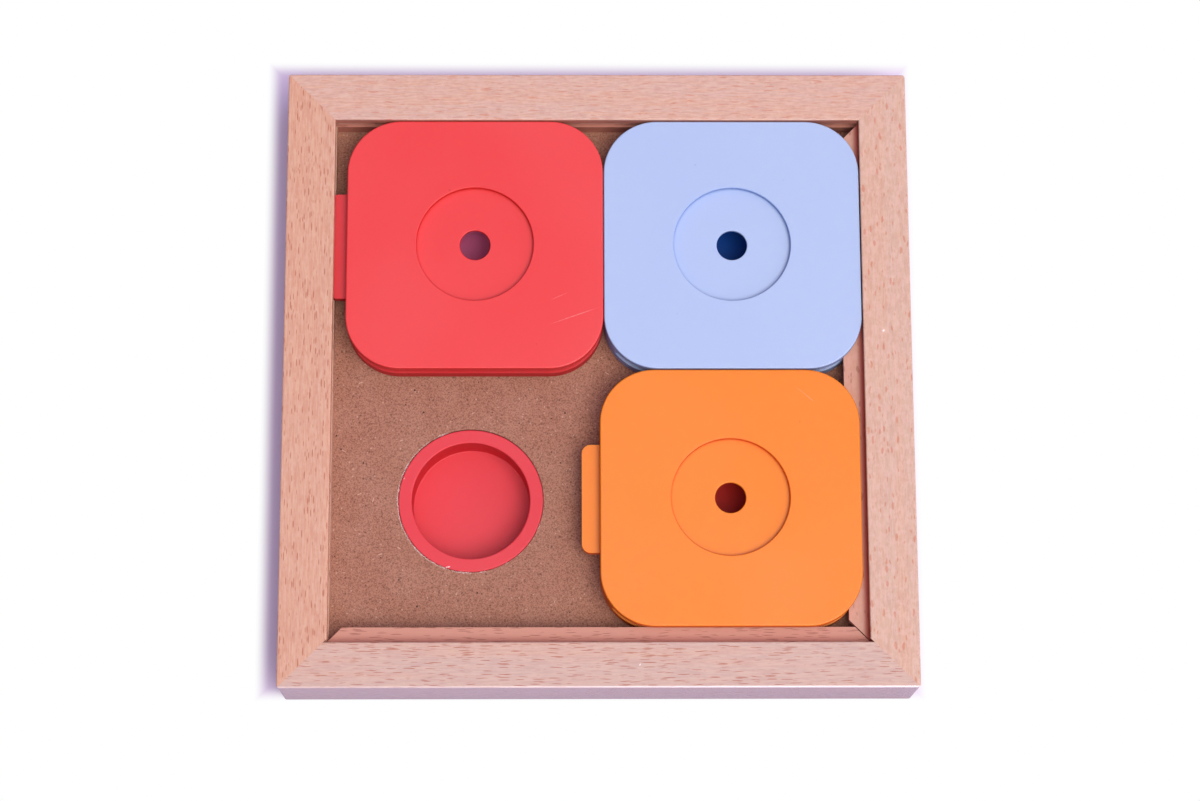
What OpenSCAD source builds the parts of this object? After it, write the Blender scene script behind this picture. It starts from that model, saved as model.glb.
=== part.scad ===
// Sliding-tile treat board for a dog: a mitred beech frame round a fibre board
// with four sunk cups, and three moulded tiles that slide over them.
// Millimetres, +Z up, origin under the centre of the frame at the feet's base.
// A tile has a tab on its left and back sides and a groove in its right and
// front sides. The left and back bars are grooved for the tabs, and the front
// and right bars carry a tongue for the tiles' grooves, so no tile lifts out.
// The front bar is the narrowest, so the side bars' mitred ends show a little.

/* [Tiles] */
// Width of a square tile, without its tabs
tile_w = 107; // [90:0.5:140]
// Radius of a tile's corners in plan
tile_r = 22.5; // [12:0.5:28]
// Thickness of the top moulding
top_t = 3.8; // [3.4:0.1:6]
// Height of the bottom moulding
bottom_t = 6.8; // [5:0.1:10]
// Rounding of the top moulding's upper edge
top_edge_r = 0.6; // [0.2:0.1:1.2]
// Rounding of the bottom moulding's lower edge
bottom_edge_r = 1; // [0.2:0.1:1.6]
// Diameter of the round dish in a tile's top
dish_d = 48.8; // [30:0.2:56]
// Depth of the dish
dish_depth = 2.4; // [1:0.1:2.8]
// Diameter of the hole in a tile's top
hole_d = 12.7; // [8:0.1:20]
// Diameter of the bore under the hole, down to the board
bore_d = 20; // [13:0.5:24]
// Rounding of the dish's edge and of the hole's edge
dish_edge_r = 0.4; // [0.2:0.1:0.8]

/* [Tile underside] */
// Thickness of the bottom moulding's flat web
web_t = 1.8; // [1.2:0.1:3]
// Thickness of the skirt round the bottom moulding
skirt_t = 2.2; // [1.6:0.1:4]
// Thickness of the ribs and of the wall round the bore
rib_t = 1.6; // [1:0.1:3]
// Distance between ribs
rib_pitch = 17; // [12:0.5:24]
// How far the ribs stop short of the skirt's lower edge
rib_drop = 0.6; // [0.2:0.1:1.5]
// Diameter of the pegs that join a tile's mouldings
peg_d = 5; // [3:0.1:7]
// Distance of a peg's centre from the tile's sides
peg_inset = 20; // [16:0.5:24]
// How deep a peg goes into the bottom moulding
peg_seat = 3; // [2:0.1:4]
// Wall of the boss round a peg
boss_wall = 2; // [1.2:0.1:3]
// Radial clearance of a peg in its hole
peg_gap = 0.15; // [0.05:0.05:0.3]

/* [Tabs and tongues] */
// Length of a tab along the tile's side
tab_l = 45.2; // [25:0.2:55]
// How far a tab stands out from the tile's side
tab_out = 7.5; // [5:0.1:9]
// Thickness of the tabs and the tongues
tab_t = 3.8; // [3:0.1:5]
// Radius of a tab's corners in plan
tab_r = 3.7; // [1:0.1:4.5]
// Width of the tongue on the front bar
front_tongue_w = 6.8; // [4:0.1:9]
// Width of the tongue on the right bar
right_tongue_w = 8; // [4:0.1:9]
// Clearance above and below a tab or tongue in its groove
run_gap = 0.6; // [0.4:0.1:1]
// Clearance past the end of a tab or tongue in its groove
end_gap = 0.7; // [0.4:0.1:1.5]
// Gap that each tongue leaves at its mitred ends
mitre_gap = 0.2; // [0:0.05:0.5]

/* [Frame] */
// Width of the right, back and left bars
bar_w = 20; // [18:0.2:30]
// How much narrower the front bar is
front_less = 1.4; // [0:0.1:3]
// Rounding of the bars' long edges
edge_r = 0.6; // [0.4:0.1:2]
// Rounding of the frame's upright corners
corner_r = 1.5; // [0.5:0.1:4]
// Free play left to the two tiles of a row, in all
play = 6; // [4:0.1:9]
// How far the tiles' tops lie below the frame's top
tile_drop = 1.1; // [0.4:0.1:3]
// Gap between a tile and the board
glide_gap = 0.3; // [0.3:0.1:0.6]

/* [Places of the tiles] */
// Gap between the blue tile and the right bar
blue_right_gap = 0.4; // [0.4:0.1:0.8]
// Gap between the blue tile and the back bar
blue_back_gap = 0.35; // [0.3:0.05:0.6]
// Gap between the red and blue tiles
red_blue_gap = 0.3; // [0.3:0.1:0.6]
// Gap between the red tile and the back bar
red_back_gap = 0.3; // [0.3:0.05:0.6]
// Gap between the orange tile and the right bar
orange_right_gap = 2.3; // [0.5:0.1:3]
// Gap between the orange and blue tiles
orange_blue_gap = 0.5; // [0.3:0.1:0.6]

/* [Board and cups] */
// Thickness of the base board
board_t = 6; // [4:0.5:10]
// How far the board enters the grooves in the bars
board_in = 6; // [4:0.5:8]
// Clearance of the board in its grooves, and of a spline in its slots
seat_gap = 0.1; // [0.05:0.05:0.2]
// Diameter of a cup's rim
rim_d = 60; // [56:0.5:70]
// Thickness of a cup's rim
rim_t = 2; // [1.5:0.1:3]
// Rounding of the rim's two upper edges
rim_edge_r = 0.6; // [0.2:0.1:0.8]
// Inside diameter of a cup
cup_bore = 48.8; // [40:0.2:49.4]
// Inside depth of a cup
cup_depth = 15.6; // [10:0.2:24]
// Thickness of a cup's wall
cup_wall = 1.6; // [1.2:0.1:2.2]
// Thickness of a cup's floor
cup_floor = 1.4; // [1:0.1:3]
// Radius between a cup's wall and its floor, inside
cup_fillet = 0.5; // [0.3:0.1:5]
// Clearance round a cup in the board, all round
cup_gap = 0.2; // [0.1:0.05:0.4]
// Free height between the cups and the frame's underside
cup_clear = 2; // [1:0.5:10]
// Cups' pattern set off from the frame's centre, to the right
cups_right = 1; // [-2:0.1:3]
// Cups' pattern set off from the frame's centre, to the back
cups_back = 3.8; // [0:0.1:6]

/* [Corners and feet] */
// Length of a spline along its mitre
spline_l = 12; // [8:0.5:12.5]
// Width of a spline across its mitre
spline_w = 10; // [8:0.5:10.5]
// Thickness of a spline
spline_t = 3; // [2:0.1:4]
// Diameter of a foot
foot_d = 12; // [8:0.5:16]
// Height of a foot
foot_h = 2; // [1:0.1:5]
// Bevel round a foot's lower edge
foot_bevel = 0.5; // [0.2:0.1:0.9]

/* [Hidden] */
$fn = 96;
over = 1;
beech = "#e5b29f";
fibre = "#b2796a";
red = "#f75459";
blue = "#bac8f4";
orange = "#fe944a";
cup_red = "#f04b55";
cup_blue = "#9fb2e6";
rubber = "#3a3a3c";
birch = "#e8cfa6";

// Tile, from its parts
core_t = tab_t + 2 * run_gap;
tile_h = top_t + core_t + bottom_t;
groove_d = max(tab_out, front_tongue_w, right_tongue_w) + end_gap;
peg_at = tile_w / 2 - peg_inset;
rib_n = floor((tile_w / 2 - skirt_t) / rib_pitch);
dish_middle_r = dish_d / 2 + 3;

// Frame, from what it holds
cavity = 2 * tile_w + play;
frame_w = cavity + 2 * bar_w;
wall = cavity / 2;
tray_depth = tile_drop + tile_h + glide_gap;
frame_h = tray_depth + cup_depth + cup_floor + cup_clear;
frame_top = foot_h + frame_h;
board_top = frame_top - tray_depth;
tile_z = board_top + glide_gap;
core_z = tile_z + bottom_t;
tab_z = core_z + run_gap;
spline_z = foot_h + (board_top - board_t - foot_h) / 2;
bar_mid = frame_w / 2 - bar_w / 2;
front_bar_w = bar_w - front_less;
spline_mid = frame_w / 2 - front_bar_w / 2;

// Where the tiles' centres lie
blue_at = [wall - blue_right_gap - tile_w / 2, wall - blue_back_gap - tile_w / 2];
red_at = [blue_at.x - tile_w - red_blue_gap, wall - red_back_gap - tile_w / 2];
orange_at = [wall - orange_right_gap - tile_w / 2, blue_at.y - tile_w - orange_blue_gap];

// The cups lie a tile's pitch apart
cup_step = (tile_w + red_blue_gap) / 2;
function cup_at(side, row) = [cups_right + side * cup_step, cups_back + row * cup_step];
cup_body_d = cup_bore + 2 * cup_wall;

// ---- Outlines shared by several pieces ----

// Square with round corners, centred
module rounded_square(w, r) {
    square([w - 2 * r, w], center = true);
    square([w, w - 2 * r], center = true);
    for (x = [-1, 1], y = [-1, 1])
        translate([x * (w / 2 - r), y * (w / 2 - r)]) circle(r);
}

// Section from a corner's centre to a plate's side, with one soft edge on top
module plate_section(r, t, edge) {
    square([r, t - edge]);
    square([r - edge, t]);
    translate([r - edge, t - edge]) circle(edge, $fn = 32);
}

// Flat plate with round corners in plan and a soft upper edge
module soft_plate(w, r, t, edge) {
    side = w - 2 * r;
    for (turn = [0:90:270]) rotate(turn) {
        translate([side / 2, side / 2, 0]) rotate_extrude(angle = 90) plate_section(r, t, edge);
        translate([side / 2, side / 2, 0]) rotate([90, 0, 0]) linear_extrude(side) plate_section(r, t, edge);
    }
    translate([-side / 2, -side / 2, 0]) cube([side, side, t]);
}

// Shapes at the four peg places of a tile
module at_pegs() {
    for (x = [-1, 1], y = [-1, 1]) translate([x * peg_at, y * peg_at, 0]) children();
}

// ---- Frame ----

// Section of a bar: across from its outer face, up from its underside
module bar_section(w, grooved) {
    difference() {
        union() {
            translate([edge_r, 0]) square([w - 2 * edge_r, frame_h]);
            translate([0, edge_r]) square([w, frame_h - 2 * edge_r]);
            for (x = [edge_r, w - edge_r], y = [edge_r, frame_h - edge_r])
                translate([x, y]) circle(edge_r, $fn = 32);
        }
        translate([bar_w - board_in - seat_gap, board_top - board_t - seat_gap - foot_h])
            square([board_in + seat_gap + over, board_t + 2 * seat_gap]);
        if (grooved)
            translate([w - groove_d, core_z - foot_h]) square([groove_d + over, core_t]);
    }
}

// Section of the tongue on a bar, rooted in the bar
module tongue_section(w, tongue_w) {
    translate([w - over, tab_z - foot_h]) square([tongue_w + over, tab_t]);
}

// Length of a section, cut to the mitres at both ends or this far back from them
module mitred(back) {
    intersection() {
        translate([-frame_w / 2, -frame_w / 2, foot_h]) rotate([90, 0, 90])
            linear_extrude(frame_w) children();
        translate([0, -back * sqrt(2), foot_h - over]) linear_extrude(frame_h + 2 * over)
            polygon([[0, 0], [-frame_w, -frame_w], [frame_w, -frame_w]]);
    }
}

// Spline across the front right mitre, or its slot when grown by the clearance
module spline(grow) {
    translate([spline_mid, -spline_mid, spline_z]) rotate(-45)
        cube([spline_l + 2 * grow, spline_w + 2 * grow, spline_t + 2 * grow], center = true);
}

// Front bar, cut to the mitres at both ends; the other bars are turned copies
module bar(turn, w, tongue_w, grooved) {
    color(beech) rotate(turn) difference() {
        intersection() {
            union() {
                mitred(0) bar_section(w, grooved);
                if (tongue_w > 0) mitred(mitre_gap) tongue_section(w, tongue_w);
            }
            translate([0, 0, foot_h - over]) linear_extrude(frame_h + 2 * over)
                rounded_square(frame_w, corner_r);
        }
        spline(seat_gap);
        mirror([1, 0, 0]) spline(seat_gap);
    }
}

module mitre_spline(turn) {
    color(birch) rotate(turn) spline(0);
}

module foot(side, row) {
    color(rubber) translate([side * bar_mid, row * bar_mid, 0]) {
        cylinder(h = foot_bevel, d1 = foot_d - 2 * foot_bevel, d2 = foot_d);
        translate([0, 0, foot_bevel]) cylinder(h = foot_h - foot_bevel, d = foot_d);
    }
}

// ---- Board and cups ----

module base_board() {
    board_w = cavity + 2 * board_in;
    color(fibre) difference() {
        translate([-board_w / 2, -board_w / 2, board_top - board_t]) cube([board_w, board_w, board_t]);
        for (side = [-1, 1], row = [-1, 1]) translate(concat(cup_at(side, row), board_top)) {
            translate([0, 0, -board_t - over]) cylinder(h = board_t + 2 * over, d = cup_body_d + 2 * cup_gap);
            translate([0, 0, -rim_t]) cylinder(h = rim_t + over, d = rim_d + 2 * cup_gap);
        }
    }
}

// Section of a cup, from its axis out; its rim's top is at height 0
module cup_section() {
    deep = cup_depth + cup_floor;
    rim_w = (rim_d - cup_bore) / 2;
    translate([cup_bore / 2, -rim_t]) {
        square([rim_w, rim_t - rim_edge_r]);
        translate([rim_edge_r, 0]) square([rim_w - 2 * rim_edge_r, rim_t]);
        for (x = [rim_edge_r, rim_w - rim_edge_r])
            translate([x, rim_t - rim_edge_r]) circle(rim_edge_r, $fn = 32);
    }
    difference() {
        union() {
            translate([0, -deep]) square([cup_body_d / 2 - cup_wall, deep - rim_edge_r]);
            translate([0, cup_wall - deep]) square([cup_body_d / 2, deep - cup_wall - rim_edge_r]);
            translate([cup_body_d / 2 - cup_wall, cup_wall - deep]) circle(cup_wall, $fn = 32);
        }
        translate([-over, cup_fillet - cup_depth]) square([cup_bore / 2 + over, cup_depth + over]);
        translate([-over, -cup_depth]) square([cup_bore / 2 - cup_fillet + over, cup_depth]);
        translate([cup_bore / 2 - cup_fillet, cup_fillet - cup_depth]) circle(cup_fillet, $fn = 32);
        translate([-2 * over, -2 * deep]) square([2 * over, 3 * deep]);
    }
}

module cup(side, row, tint) {
    color(tint) translate(concat(cup_at(side, row), board_top)) rotate_extrude() cup_section();
}

// ---- Tiles ----

// Section of a top moulding's middle, from its hole out past the dish's edge, both edges soft
module dish_section() {
    translate([dish_middle_r, 0]) mirror([1, 0]) {
        plate_section(dish_middle_r - hole_d / 2, top_t - dish_depth, dish_edge_r);
        plate_section(dish_middle_r - dish_d / 2, top_t, dish_edge_r);
    }
}

// Top moulding: plate with a dish and a hole, and the pegs under it
module tile_top(at, tint) {
    color(tint) translate(concat(at, core_z + core_t)) {
        difference() {
            soft_plate(tile_w, tile_r, top_t, top_edge_r);
            translate([0, 0, -over]) cylinder(h = top_t + 2 * over, r = dish_middle_r);
        }
        rotate_extrude() dish_section();
        translate([0, 0, -core_t - peg_seat]) at_pegs() cylinder(h = core_t + peg_seat + top_t / 2, d = peg_d);
    }
}

// Tab standing out to the left of a tile
module tab() {
    translate([-tile_w / 2 - tab_out, 0, run_gap]) linear_extrude(tab_t) {
        translate([tab_r, -tab_l / 2]) square([tab_out - tab_r + over, tab_l]);
        translate([0, tab_r - tab_l / 2]) square([tab_out + over, tab_l - 2 * tab_r]);
        for (y = [-1, 1]) translate([tab_r, y * (tab_l / 2 - tab_r)]) circle(tab_r, $fn = 48);
    }
}

// Core: fills the tile but for the grooves on its right and front, and carries the tabs
module tile_core(at, tint) {
    color(tint) translate(concat(at, core_z)) difference() {
        union() {
            intersection() {
                linear_extrude(core_t) rounded_square(tile_w, tile_r);
                translate([-tile_w / 2 - over, groove_d - tile_w / 2, -over])
                    cube([tile_w - groove_d + over, tile_w - groove_d + over, core_t + 2 * over]);
            }
            tab();
            rotate(-90) tab();
        }
        translate([0, 0, -over]) cylinder(h = core_t + 2 * over, d = bore_d);
        translate([0, 0, -over]) at_pegs() cylinder(h = core_t + 2 * over, d = peg_d + 2 * peg_gap);
    }
}

// Ribs both ways, the wall round the bore and the bosses round the pegs
module underside_ribs() {
    for (turn = [0, 90], k = [-rib_n:rib_n])
        rotate(turn) translate([-tile_w / 2, k * rib_pitch - rib_t / 2, rib_drop])
            cube([tile_w, rib_t, bottom_t]);
    translate([0, 0, rib_drop]) cylinder(h = bottom_t, d = bore_d + 2 * rib_t);
    translate([0, 0, rib_drop]) at_pegs() cylinder(h = bottom_t, d = peg_d + 2 * (peg_gap + boss_wall));
}

// Bottom moulding: a web with a skirt, cored out from below between the ribs
module tile_bottom(at, tint) {
    color(tint) translate(concat(at, tile_z)) difference() {
        translate([0, 0, bottom_t]) mirror([0, 0, 1]) soft_plate(tile_w, tile_r, bottom_t, bottom_edge_r);
        difference() {
            translate([0, 0, -over]) linear_extrude(bottom_t - web_t + over)
                rounded_square(tile_w - 2 * skirt_t, tile_r - skirt_t);
            underside_ribs();
        }
        translate([0, 0, -over]) cylinder(h = bottom_t + 2 * over, d = bore_d);
        translate([0, 0, bottom_t - peg_seat - peg_gap])
            at_pegs() cylinder(h = peg_seat + over, d = peg_d + 2 * peg_gap);
    }
}

bar(0, front_bar_w, front_tongue_w, false);  // frame_bar_front
bar(90, bar_w, right_tongue_w, false);  // frame_bar_right
bar(180, bar_w, 0, true);  // frame_bar_back
bar(270, bar_w, 0, true);  // frame_bar_left
mitre_spline(0);  // mitre_spline_front_right
mitre_spline(90);  // mitre_spline_back_right
mitre_spline(180);  // mitre_spline_back_left
mitre_spline(270);  // mitre_spline_front_left
base_board();
cup(-1, -1, cup_red);  // cup_front_left
cup(1, -1, cup_red);  // cup_front_right
cup(-1, 1, cup_blue);  // cup_back_left
cup(1, 1, cup_blue);  // cup_back_right
tile_top(red_at, red);  // red_tile_top
tile_core(red_at, red);  // red_tile_core
tile_bottom(red_at, red);  // red_tile_bottom
tile_top(blue_at, blue);  // blue_tile_top
tile_core(blue_at, blue);  // blue_tile_core
tile_bottom(blue_at, blue);  // blue_tile_bottom
tile_top(orange_at, orange);  // orange_tile_top
tile_core(orange_at, orange);  // orange_tile_core
tile_bottom(orange_at, orange);  // orange_tile_bottom
foot(-1, -1);  // foot_front_left
foot(1, -1);  // foot_front_right
foot(-1, 1);  // foot_back_left
foot(1, 1);  // foot_back_right
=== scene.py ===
"""Sliding-tile treat board for dogs: beech frame, fibre board, sunk cups and three moulded tiles."""
import math
from typing import NamedTuple

import bpy
from bpy.props import FloatProperty, IntProperty, PointerProperty, StringProperty
from mathutils import Euler, Matrix, Vector


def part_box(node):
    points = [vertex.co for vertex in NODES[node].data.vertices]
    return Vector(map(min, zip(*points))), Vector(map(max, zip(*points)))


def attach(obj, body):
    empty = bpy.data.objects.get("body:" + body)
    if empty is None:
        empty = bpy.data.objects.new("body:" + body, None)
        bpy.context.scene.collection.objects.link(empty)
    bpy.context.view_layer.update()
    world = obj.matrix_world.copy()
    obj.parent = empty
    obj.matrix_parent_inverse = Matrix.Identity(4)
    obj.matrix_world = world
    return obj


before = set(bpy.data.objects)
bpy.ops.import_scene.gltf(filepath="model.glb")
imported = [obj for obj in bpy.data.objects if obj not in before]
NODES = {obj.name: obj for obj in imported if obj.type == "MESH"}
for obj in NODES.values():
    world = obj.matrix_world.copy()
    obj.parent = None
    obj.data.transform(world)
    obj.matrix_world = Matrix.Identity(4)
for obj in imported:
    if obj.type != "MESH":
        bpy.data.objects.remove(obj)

bl_info = {
    "name": "Sliding-tile treat board",
    "version": (1, 0, 0),
    "blender": (4, 5, 0),
    "location": "View3D > Sidebar > Treat board",
    "description": "Finishes the pieces of a dog's sliding-tile treat board and lights them",
    "category": "Object",
}

MM = 0.001
TILES = ("red", "blue", "orange")
SIDES = ("front", "right", "back", "left")
CORNERS = ("front_left", "front_right", "back_left", "back_right")


# ---------------------------------------------------------------- settings

def hex_colour(text):
    """An sRGB hex colour as linear red, green and blue."""
    parts = [int(text[i:i + 2], 16) / 255 for i in (1, 3, 5)]
    return tuple(c / 12.92 if c <= 0.04045 else ((c + 0.055) / 1.055) ** 2.4 for c in parts)


def colour(name, text, about):
    """A colour setting, given in sRGB hex."""
    return StringProperty(name=name, description=about, default=text)


def length(name, metres, about):
    """A length setting, in metres."""
    return FloatProperty(name=name, description=about, default=metres, unit="LENGTH", precision=5, min=0)


def share(name, value, about):
    """A setting from 0 to 1."""
    return FloatProperty(name=name, description=about, default=value, subtype="FACTOR", min=0, max=1)


class BeechSettings(bpy.types.PropertyGroup):
    """Planed beech of the four frame bars."""
    # the front and right bars are set paler and more lilac, partly the wood's own tone and partly painted sheen
    # for the soft box's reflection on their tops
    front: colour("Front bar", "#b89992", "Tone of the front bar's wood")
    right: colour("Right bar", "#bc9887", "Tone of the right bar's wood")
    back: colour("Back bar", "#be968a", "Tone of the back bar's wood")
    left: colour("Left bar", "#c08971", "Tone of the left bar's wood")
    warm: colour("Late wood", "#cb8660", "Warmer tone of the late wood and the streaks")
    straw: colour("Early wood", "#f0dcc0", "Pale straw tone of the early wood")
    pink: colour("Pale wood", "#e2bdb4", "Pale pink blotches between the streaks")
    fleck: colour("Fleck", "#b8541c", "Ray flecks and pores of fresh wood")
    # on the inner faces every fleck takes this dark tone, as part of their painted shade
    dark_fleck: colour("Old fleck", "#7a3f2e", "Flecks gone dark with age, and all those of the bare inner side")
    # painted shade: this darker tone on the inner faces and tongues stands in for the shade inside the frame
    bare: colour("Bare inner side", "#bd7c69", "Unlacquered wood inside the frame, darkened by handling")
    # painted shade, reddened with painted light thrown from the tiles, in the corner where a tongue meets its
    # bar
    corner: colour("Inner corner", "#b04a38", "Where a tongue meets its bar, reddened by the tiles beside it")
    # painted highlight: a pale line on the front bar's upper outer edge, standing in for the light its lacquer
    # catches
    edge: colour("Outer edge", "#fff2f4", "Lacquer that catches the light on the front's upper edge")
    ring: length("Growth ring", 7 * MM, "Width of a growth ring's band on the face")
    roughness: share("Roughness", 0.14, "Clear lacquer on planed wood")


class BoardSettings(bpy.types.PropertyGroup):
    """Bare fibre board under the tiles."""
    base: colour("Board", "#a77560", "Pressed wood fibre")
    dark: colour("Dark fibre", "#744736", "The darker grains of fibre")
    speck: colour("Speck", "#2c1a17", "Dark specks of bark")
    straw: colour("Pale fibre", "#dcb8a4", "Single pale fibres")
    speck_pitch: length("Speck pitch", 1.9 * MM, "Spacing of the dark specks")
    fibre: length("Fibre", 0.6 * MM, "Size of the fibre grain")


class FraySettings(bpy.types.PropertyGroup):
    """Torn fibres round the holes in the board."""
    count: IntProperty(name="Fibres", description="Most torn fibres round one hole", default=1600,
                       min=0, max=4000)
    long: length("Length", 0.9 * MM, "Longest fibre")
    thick: length("Thickness", 0.16 * MM, "Thickness of a fibre at its root")
    spread: length("Spread", 0.35 * MM, "How far from the hole's edge the fibres lie")
    tint: colour("Colour", "#e6d6d0", "Bleached look of torn fibre")


class PlasticSettings(bpy.types.PropertyGroup):
    """Moulded plastic of the tiles and cups."""
    red: colour("Red tile", "#de393b", "Red moulding")
    # red_core is a darker copy of the red tile's tone: painted shade on the core and underside, under the top
    red_core: colour("Red core", "#c9262c", "Red moulding of the core and the underside")
    blue: colour("Blue tile", "#a6bbdf", "Pale blue moulding")
    # blue_core likewise is a darker copy of the blue tile's tone: painted shade
    blue_core: colour("Blue core", "#9fb2d8", "Pale blue moulding of the core and the underside")
    orange: colour("Orange tile", "#e67f04", "Orange moulding")
    cup_red: colour("Red cup", "#d6424b", "Red cup in the open corner")
    # a brighter, more saturated copy of the red cup's tone: painted light for what reaches the cup through the
    # orange tile's hole
    cup_red_painted_light: colour("Deep red cup", "#de2d27", "Red cup at the front right")
    cup_blue: colour("Blue cup", "#1660cc", "Blue cup")
    cup_lilac: colour("Lilac cup", "#f07ab4", "Pink lilac cup")
    roughness: share("Roughness", 0.42, "Satin mould finish")
    spark: length("Mould grain", 0.35 * MM, "Grain of the spark-eroded mould")


class StageSettings(bpy.types.PropertyGroup):
    """Floor, light and camera."""
    floor: colour("Floor", "#d5c8e4", "Plain pale floor")
    bounce: colour("Bounce", "#ece6ff", "What the floor throws back on the frame's sides")
    sky: colour("Sky", "#eadcf8", "Cool light from all round")
    sky_strength: FloatProperty(name="Sky strength", description="Light from all round", default=1.15, min=0)
    key: colour("Key", "#fffbec", "White soft box")
    key_power: FloatProperty(name="Key power", description="Power of the soft box", default=120,
                             min=0, unit="POWER")
    key_size: length("Key size", 2.4, "Side of the soft box")


# ---------------------------------------------------------------- node helpers

MATH = "ShaderNodeMath"
VECTOR = "ShaderNodeVectorMath"
SPLIT = "ShaderNodeSeparateXYZ"
NOISE = "ShaderNodeTexNoise"
RANGE = "ShaderNodeMapRange"               # value, low and high, then what these two become, or else 0 and 1
SMOOTH = {"interpolation_type": "SMOOTHSTEP"}
BSDF = "ShaderNodeBsdfPrincipled"
OUTPUT = "ShaderNodeOutputMaterial"


def add(tree, kind, sockets=(), **settings):
    """Adds a node with its settings. Its sockets are given in order or by name, and each is set to a
    value, or linked to a socket or to another node's first output in use."""
    node = tree.nodes.new(kind)
    for key, value in settings.items():
        setattr(node, key, value)
    for key, value in (sockets.items() if isinstance(sockets, dict) else enumerate(sockets)):
        if isinstance(value, bpy.types.Node):
            value = next(output for output in value.outputs if output.enabled)
        if isinstance(value, bpy.types.NodeSocket):
            tree.links.new(value, node.inputs[key])
        else:
            node.inputs[key].default_value = value
    return node


def new_material(name):
    """An empty material and its tree, ready for nodes."""
    material = bpy.data.materials.new(name)
    material.use_nodes = True
    material.node_tree.nodes.clear()
    return material, material.node_tree


def place(tree, offset=(0, 0, 0)):
    """Object coordinates, moved by an offset in metres."""
    coordinates = add(tree, "ShaderNodeTexCoord").outputs["Object"]
    return add(tree, VECTOR, (coordinates, offset), operation="ADD")


def rgba(text):
    """A hex colour as a socket's value."""
    return (*hex_colour(text), 1)


def laid(tree, tone, *layers):
    """A tone with others laid over it in turn; a layer is its mask, how strongly it shows, and its tone."""
    for mask, show, over in layers:
        part = add(tree, MATH, (mask, show), operation="MULTIPLY")
        over = rgba(over) if isinstance(over, str) else over
        tone = add(tree, "ShaderNodeMix", {"Factor": part, "A": tone, "B": over}, data_type="RGBA")
    return tone


SMALLEST, LARGEST = 0.55, 1.25             # the spots' radii, as shares of the given one


def spots(tree, vector, radius, soft, presence, size=1.0):
    """Scattered spots of about this radius, given in pattern cells; a share of the cells has one."""
    cells = add(tree, "ShaderNodeTexVoronoi", {"Vector": vector, "Scale": 1 / size, "Randomness": 1.0})
    pick = add(tree, "ShaderNodeSeparateColor", {"Color": cells.outputs["Color"]}).outputs
    reach = add(tree, RANGE, (pick["Green"], 0.0, 1.0, radius * SMALLEST, radius * LARGEST), **SMOOTH)
    edge = add(tree, MATH, (cells, reach), operation="SUBTRACT")
    spot = add(tree, RANGE, (edge, -soft, soft, 1.0, 0.0), **SMOOTH)
    shown = add(tree, RANGE, (pick["Red"], 1 - presence - 0.001, 1 - presence), **SMOOTH)
    return add(tree, MATH, (spot, shown), operation="MULTIPLY")


# ---------------------------------------------------------------- marks of use and painted highlights

class Mark(NamedTuple):
    """A mark on a face, of use or, on the red cup's rim, a painted highlight: its middle in plan, length and
    width in millimetres, and its turn.
    """
    x: float
    y: float
    long: float
    wide: float
    turn: float            # degrees, from above
    show: float            # how strongly it shows, above 0 pale and below 0 dark


MARKS = {
    "red tile": (Mark(-10.0, 25.0, 22, 0.35, 19.5, 0.16), Mark(-16.0, 33.5, 8, 0.35, 24, 0.10),
                 Mark(-62.0, 79.5, 0.9, 0.7, 0, -0.30), Mark(-25.5, 13.0, 0.8, 0.6, 0, -0.22)),
    "blue tile": (Mark(41.0, 90.5, 1.2, 0.9, 20, -0.14), Mark(78.0, 84.0, 0.9, 0.7, 0, -0.10),
                  Mark(33.0, 26.0, 0.8, 0.8, 0, -0.12)),
    "orange tile": (Mark(85.5, -8.5, 11, 0.45, -40, 0.10), Mark(83.0, -20.0, 1.0, 1.3, 0, -0.14),
                    Mark(30.0, -30.0, 0.8, 0.7, 0, -0.10)),
    "front bar": (Mark(16.6, -120.7, 1.1, 0.6, 60, 0.7),),
    "right bar": (Mark(118.4, 18.5, 1.2, 0.9, 40, 0.8),),
    "board": (Mark(-28.5, -78.6, 0.9, 0.8, 0, -0.9),),
    # the red cup's two pale marks are painted highlights on its rim
    "red cup": (Mark(-61.9, -77.7, 2.0, 0.7, 12, 0.75), Mark(-80.3, -40.5, 0.7, 0.5, 60, 0.35)),
}
PALE_MARK = "#ffffff"                      # a scratch or a chip; on the red cup's rim a painted highlight
DARK_MARK = "#401818"                      # a speck of dirt
MARK_EDGE = (0.55, 1.15)                   # from full to nothing, as shares of a mark's half length or width
MARK_GRAIN = 1.3 * MM                      # size of the breaks in a mark


def mark_mask(tree, plain, mark):
    """1 on a mark and 0 off it, with a soft and broken edge."""
    middle = (mark.x * MM, mark.y * MM, 0)
    turned = add(tree, "ShaderNodeVectorRotate", {"Vector": plain, "Center": middle,
                                                  "Angle": -math.radians(mark.turn)}, rotation_type="Z_AXIS")
    moved = add(tree, VECTOR, (turned, middle), operation="SUBTRACT")
    scaled = add(tree, VECTOR, (moved, (2 / (mark.long * MM), 2 / (mark.wide * MM), 0)), operation="MULTIPLY")
    reach = add(tree, VECTOR, (scaled,), operation="LENGTH")
    inside = add(tree, RANGE, (reach, *MARK_EDGE, 1.0, 0.0), **SMOOTH)
    rough = add(tree, NOISE, {"Vector": plain, "Scale": 1 / MARK_GRAIN, "Detail": 2.0, "Roughness": 0.5})
    broken = add(tree, RANGE, (rough, 0.30, 0.55, 0.35, 1.0), **SMOOTH)
    return add(tree, MATH, (inside, broken), operation="MULTIPLY")


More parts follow.
